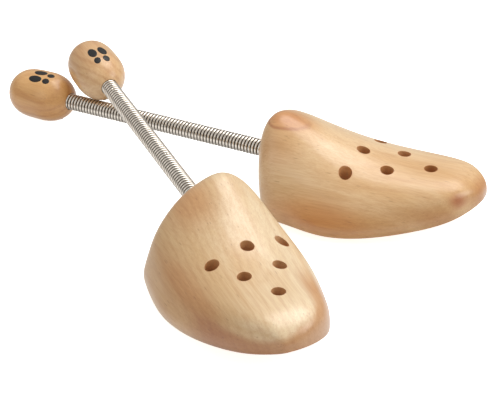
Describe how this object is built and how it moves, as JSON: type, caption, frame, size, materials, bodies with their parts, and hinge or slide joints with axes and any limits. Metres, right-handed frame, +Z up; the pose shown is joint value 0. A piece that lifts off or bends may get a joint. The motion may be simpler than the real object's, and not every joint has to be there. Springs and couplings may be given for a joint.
{
  "type": "shoe tree",
  "caption": "Pair of wooden shoe trees lying crossed: shaped vented foreparts, each joined by a close-wound wire spring to a turned heel knob.",
  "frame": {"origin": "on the ground, under the centre of the pair's bounding box as the trees lie crossed", "axes": "+Z up from the soles; +X to the right and +Y away for someone facing the toes, with both knobs at the far left"},
  "size_m": [0.2807, 0.2992, 0.0579],
  "materials": {
    "left_forepart_wood": "satin lacquer",
    "right_forepart_wood": "satin lacquer",
    "left_knob_wood": "satin lacquer",
    "right_knob_wood": "satin lacquer",
    "spring_steel": "bright drawn wire",
    "nail_steel": "plain"
  },
  "bodies": {
    "left_forepart": {"left_forepart": "left_forepart_wood", "left_toe_nail": "nail_steel", "left_spring_coil_1": "spring_steel"},
    "left_coil_2": {"left_spring_coil_2": "spring_steel"},
    "left_coil_3": {"left_spring_coil_3": "spring_steel"},
    "left_coil_4": {"left_spring_coil_4": "spring_steel"},
    "left_coil_5": {"left_spring_coil_5": "spring_steel"},
    "left_coil_6": {"left_spring_coil_6": "spring_steel"},
    "left_coil_7": {"left_spring_coil_7": "spring_steel"},
    "left_coil_8": {"left_spring_coil_8": "spring_steel"},
    "left_knob": {"left_knob": "left_knob_wood", "left_knob_nail": "nail_steel", "left_spring_coil_9": "spring_steel"},
    "right_forepart": {"right_forepart": "right_forepart_wood", "right_toe_nail": "nail_steel", "right_spring_coil_1": "spring_steel"},
    "right_coil_2": {"right_spring_coil_2": "spring_steel"},
    "right_coil_3": {"right_spring_coil_3": "spring_steel"},
    "right_coil_4": {"right_spring_coil_4": "spring_steel"},
    "right_coil_5": {"right_spring_coil_5": "spring_steel"},
    "right_coil_6": {"right_spring_coil_6": "spring_steel"},
    "right_coil_7": {"right_spring_coil_7": "spring_steel"},
    "right_coil_8": {"right_spring_coil_8": "spring_steel"},
    "right_knob": {"right_knob": "right_knob_wood", "right_knob_nail": "nail_steel", "right_spring_coil_9": "spring_steel"}
  },
  "joints": [
    {"name": "left_spring_up_1", "type": "hinge", "parent": "left_forepart", "child": "left_coil_2", "pos_m": [0.00514, 0.04996, 0.0296], "axis": [0.5446, 0.8387, 0], "range_deg": [-0.6, 0], "stiffness_Nm_per_rad": 0.17, "deforming": ["left_spring_coil_2", "left_spring_coil_1"]},
    {"name": "left_spring_side_1", "type": "hinge", "parent": "left_coil_2", "child": "left_coil_3", "pos_m": [-0.00802, 0.0585, 0.0286], "axis": [-0.0534, 0.0347, 0.998], "range_deg": [0, 16], "stiffness_Nm_per_rad": 0.17, "deforming": ["left_spring_coil_3"]},
    {"name": "left_spring_up_2", "type": "hinge", "parent": "left_coil_3", "child": "left_coil_4", "pos_m": [-0.02118, 0.06705, 0.0276], "axis": [0.5446, 0.8387, 0], "range_deg": [-0.6, 0], "stiffness_Nm_per_rad": 0.17, "deforming": ["left_spring_coil_4"]},
    {"name": "left_spring_side_2", "type": "hinge", "parent": "left_coil_4", "child": "left_coil_5", "pos_m": [-0.03434, 0.07559, 0.0266], "axis": [-0.0534, 0.0347, 0.998], "range_deg": [0, 16], "stiffness_Nm_per_rad": 0.17, "deforming": ["left_spring_coil_5"]},
    {"name": "left_spring_up_3", "type": "hinge", "parent": "left_coil_5", "child": "left_coil_6", "pos_m": [-0.0475, 0.08414, 0.0256], "axis": [0.5446, 0.8387, 0], "range_deg": [-0.6, 0], "stiffness_Nm_per_rad": 0.17, "deforming": ["left_spring_coil_6"]},
    {"name": "left_spring_side_3", "type": "hinge", "parent": "left_coil_6", "child": "left_coil_7", "pos_m": [-0.06065, 0.09268, 0.02459], "axis": [-0.0534, 0.0347, 0.998], "range_deg": [0, 16], "stiffness_Nm_per_rad": 0.17, "deforming": ["left_spring_coil_7"]},
    {"name": "left_spring_up_4", "type": "hinge", "parent": "left_coil_7", "child": "left_coil_8", "pos_m": [-0.07381, 0.10123, 0.02359], "axis": [0.5446, 0.8387, 0], "range_deg": [-0.6, 0], "stiffness_Nm_per_rad": 0.17, "deforming": ["left_spring_coil_8"]},
    {"name": "left_spring_side_4", "type": "hinge", "parent": "left_coil_8", "child": "left_knob", "pos_m": [-0.08697, 0.10977, 0.02259], "axis": [-0.0534, 0.0347, 0.998], "range_deg": [0, 16], "stiffness_Nm_per_rad": 0.17, "deforming": ["left_spring_coil_9"]},
    {"name": "right_spring_up_1", "type": "hinge", "parent": "right_forepart", "child": "right_coil_2", "pos_m": [-0.02228, -0.01485, 0.03172], "axis": [0.9078, 0.4195, 0], "range_deg": [0, 20], "stiffness_Nm_per_rad": 0.17, "deforming": ["right_spring_coil_2", "right_spring_coil_1"]},
    {"name": "right_spring_side_1", "type": "hinge", "parent": "right_coil_2", "child": "right_coil_3", "pos_m": [-0.02886, -0.00062, 0.03285], "axis": [0.1281, 0.1368, -0.9823], "range_deg": [0, 16], "stiffness_Nm_per_rad": 0.17, "deforming": ["right_spring_coil_3"]},
    {"name": "right_spring_up_2", "type": "hinge", "parent": "right_coil_3", "child": "right_coil_4", "pos_m": [-0.03543, 0.01362, 0.03397], "axis": [0.9078, 0.4195, 0], "range_deg": [0, 20], "stiffness_Nm_per_rad": 0.17, "deforming": ["right_spring_coil_4"]},
    {"name": "right_spring_side_2", "type": "hinge", "parent": "right_coil_4", "child": "right_coil_5", "pos_m": [-0.04201, 0.02785, 0.0351], "axis": [0.1281, 0.1368, -0.9823], "range_deg": [0, 16], "stiffness_Nm_per_rad": 0.17, "deforming": ["right_spring_coil_5"]},
    {"name": "right_spring_up_3", "type": "hinge", "parent": "right_coil_5", "child": "right_coil_6", "pos_m": [-0.04859, 0.04209, 0.03622], "axis": [0.9078, 0.4195, 0], "range_deg": [0, 20], "stiffness_Nm_per_rad": 0.17, "deforming": ["right_spring_coil_6"]},
    {"name": "right_spring_side_3", "type": "hinge", "parent": "right_coil_6", "child": "right_coil_7", "pos_m": [-0.05517, 0.05633, 0.03735], "axis": [0.1281, 0.1368, -0.9823], "range_deg": [0, 16], "stiffness_Nm_per_rad": 0.17, "deforming": ["right_spring_coil_7"]},
    {"name": "right_spring_up_4", "type": "hinge", "parent": "right_coil_7", "child": "right_coil_8", "pos_m": [-0.06175, 0.07056, 0.03847], "axis": [0.9078, 0.4195, 0], "range_deg": [0, 20], "stiffness_Nm_per_rad": 0.17, "deforming": ["right_spring_coil_8"]},
    {"name": "right_spring_side_4", "type": "hinge", "parent": "right_coil_8", "child": "right_knob", "pos_m": [-0.06832, 0.0848, 0.03959], "axis": [0.1281, 0.1368, -0.9823], "range_deg": [0, 16], "stiffness_Nm_per_rad": 0.17, "deforming": ["right_spring_coil_9"]},
    {"name": "right_tree_lift", "type": "slide", "parent": "left_forepart", "child": "right_forepart", "axis": [0, 0, 1], "range_m": [0, 0.1]}
  ],
  "couplings": [
    {"joint": "left_spring_up_2", "follows": "left_spring_up_1", "ratio": 1},
    {"joint": "left_spring_side_2", "follows": "left_spring_side_1", "ratio": 1},
    {"joint": "left_spring_up_3", "follows": "left_spring_up_1", "ratio": 1},
    {"joint": "left_spring_side_3", "follows": "left_spring_side_1", "ratio": 1},
    {"joint": "left_spring_up_4", "follows": "left_spring_up_1", "ratio": 1},
    {"joint": "left_spring_side_4", "follows": "left_spring_side_1", "ratio": 1},
    {"joint": "right_spring_up_2", "follows": "right_spring_up_1", "ratio": 1},
    {"joint": "right_spring_side_2", "follows": "right_spring_side_1", "ratio": 1},
    {"joint": "right_spring_up_3", "follows": "right_spring_up_1", "ratio": 1},
    {"joint": "right_spring_side_3", "follows": "right_spring_side_1", "ratio": 1},
    {"joint": "right_spring_up_4", "follows": "right_spring_up_1", "ratio": 1},
    {"joint": "right_spring_side_4", "follows": "right_spring_side_1", "ratio": 1}
  ]
}
